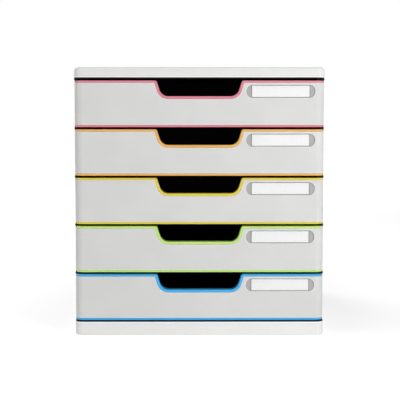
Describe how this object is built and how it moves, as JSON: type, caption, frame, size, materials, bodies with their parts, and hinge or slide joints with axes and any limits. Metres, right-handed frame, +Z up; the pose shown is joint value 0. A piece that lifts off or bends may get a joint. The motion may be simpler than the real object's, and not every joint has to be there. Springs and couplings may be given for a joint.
{
  "type": "desk drawer tower",
  "caption": "Low desk tower of sliding drawers with wide flat fronts, coloured edges, a finger cut-out and a label on each front.",
  "frame": {"origin": "under the middle of the feet, on the surface that the tower stands on", "axes": "+Z up; the drawer fronts face -Y; +X to the right as seen from the front"},
  "size_m": [0.28, 0.35, 0.3],
  "materials": {
    "light_grey_plastic": "smooth moulded plastic, satin",
    "panel_grey_plastic": "fine spark-eroded grain, matte",
    "black_plastic": "fine grain, satin",
    "tray_plastic": "smooth moulded plastic, satin",
    "foot_rubber": "moulded rubber, matte",
    "white_card": "uncoated white card",
    "clear_window": "clear moulded plastic, polished",
    "red_edge": "smooth tinted plastic, soft gloss",
    "orange_edge": "smooth tinted plastic, soft gloss",
    "yellow_edge": "smooth tinted plastic, soft gloss",
    "green_edge": "smooth tinted plastic, soft gloss",
    "blue_edge": "smooth tinted plastic, soft gloss"
  },
  "bodies": {
    "casing": {"top_cover": "light_grey_plastic", "base_plinth": "light_grey_plastic", "casing_floor": "black_plastic", "casing_ceiling": "black_plastic", "left_side_panel": "black_plastic", "right_side_panel": "black_plastic", "back_panel": "black_plastic", "front_left_foot": "foot_rubber", "front_right_foot": "foot_rubber", "rear_left_foot": "foot_rubber", "rear_right_foot": "foot_rubber"},
    "drawer_1": {"drawer_1_tray": "tray_plastic", "drawer_1_front_frame": "red_edge", "drawer_1_front_panel": "panel_grey_plastic", "drawer_1_label_card": "white_card", "drawer_1_label_window": "clear_window"},
    "drawer_2": {"drawer_2_tray": "tray_plastic", "drawer_2_front_frame": "orange_edge", "drawer_2_front_panel": "panel_grey_plastic", "drawer_2_label_card": "white_card", "drawer_2_label_window": "clear_window"},
    "drawer_3": {"drawer_3_tray": "tray_plastic", "drawer_3_front_frame": "yellow_edge", "drawer_3_front_panel": "panel_grey_plastic", "drawer_3_label_card": "white_card", "drawer_3_label_window": "clear_window"},
    "drawer_4": {"drawer_4_tray": "tray_plastic", "drawer_4_front_frame": "green_edge", "drawer_4_front_panel": "panel_grey_plastic", "drawer_4_label_card": "white_card", "drawer_4_label_window": "clear_window"},
    "drawer_5": {"drawer_5_tray": "tray_plastic", "drawer_5_front_frame": "blue_edge", "drawer_5_front_panel": "panel_grey_plastic", "drawer_5_label_card": "white_card", "drawer_5_label_window": "clear_window"}
  },
  "joints": [
    {"name": "drawer_1_slide", "type": "slide", "parent": "casing", "child": "drawer_1", "axis": [0, -1, 0], "range_m": [0, 0.26]},
    {"name": "drawer_2_slide", "type": "slide", "parent": "casing", "child": "drawer_2", "axis": [0, -1, 0], "range_m": [0, 0.26]},
    {"name": "drawer_3_slide", "type": "slide", "parent": "casing", "child": "drawer_3", "axis": [0, -1, 0], "range_m": [0, 0.26]},
    {"name": "drawer_4_slide", "type": "slide", "parent": "casing", "child": "drawer_4", "axis": [0, -1, 0], "range_m": [0, 0.26]},
    {"name": "drawer_5_slide", "type": "slide", "parent": "casing", "child": "drawer_5", "axis": [0, -1, 0], "range_m": [0, 0.26]}
  ]
}
